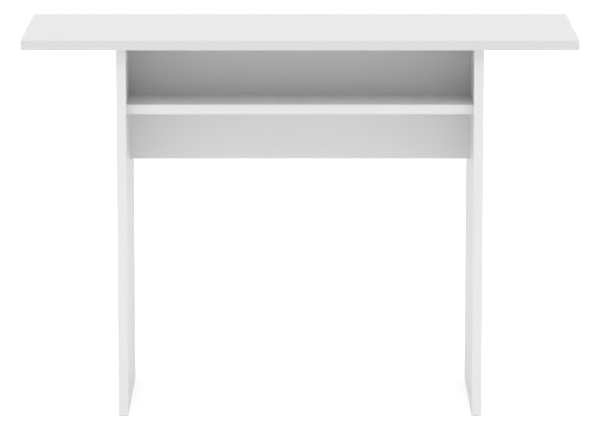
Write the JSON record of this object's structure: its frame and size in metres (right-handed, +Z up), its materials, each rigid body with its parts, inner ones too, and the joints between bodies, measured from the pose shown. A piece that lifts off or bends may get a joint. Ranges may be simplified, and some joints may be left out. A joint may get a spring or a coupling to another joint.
{
  "type": "console table",
  "caption": "Narrow white console table: a thin board top on panel legs joined by a centre panel with an open front shelf.",
  "frame": {"origin": "on the floor, under the middle of the top", "axes": "+X along the table's length, +Z up; the front, with the shelf, faces -Y"},
  "size_m": [1.08, 0.4, 0.75],
  "materials": {
    "board_melamine": "white melamine facing on chipboard, fine matt texture",
    "edge_band": "white ABS edge band, satin, rounded edges",
    "cam_zinc": "bare zinc die casting",
    "plated_steel": "bright zinc plating",
    "dowel_beech": "plain beech, end grain at both ends",
    "cap_plastic": "white moulded plastic, matt",
    "glide_plastic": "white moulded plastic, slightly worn underneath"
  },
  "bodies": {
    "root": {"top_board": "board_melamine", "left_leg_board": "board_melamine", "right_leg_board": "board_melamine", "centre_panel": "board_melamine", "shelf_board": "board_melamine", "top_front_band": "edge_band", "top_rear_band": "edge_band", "top_left_band": "edge_band", "top_right_band": "edge_band", "left_leg_front_band": "edge_band", "left_leg_rear_band": "edge_band", "left_leg_bottom_band": "edge_band", "right_leg_front_band": "edge_band", "right_leg_rear_band": "edge_band", "right_leg_bottom_band": "edge_band", "panel_bottom_band": "edge_band", "shelf_front_band": "edge_band", "leg_top_cam_locks": "cam_zinc", "panel_end_cam_locks": "cam_zinc", "panel_top_cam_locks": "cam_zinc", "shelf_end_cam_locks": "cam_zinc", "leg_top_bolts": "plated_steel", "panel_end_bolts": "plated_steel", "panel_top_bolts": "plated_steel", "shelf_end_bolts": "plated_steel", "leg_top_dowels": "dowel_beech", "panel_end_dowels": "dowel_beech", "panel_top_dowels": "dowel_beech", "shelf_end_dowels": "dowel_beech", "leg_top_cam_caps": "cap_plastic", "panel_end_cam_caps": "cap_plastic", "panel_top_cam_caps": "cap_plastic", "shelf_end_cam_caps": "cap_plastic", "shelf_screws": "plated_steel", "shelf_screw_caps": "cap_plastic", "left_front_foot_glide": "glide_plastic", "left_rear_foot_glide": "glide_plastic", "right_front_foot_glide": "glide_plastic", "right_rear_foot_glide": "glide_plastic", "glide_nails": "plated_steel"}
  },
  "joints": []
}
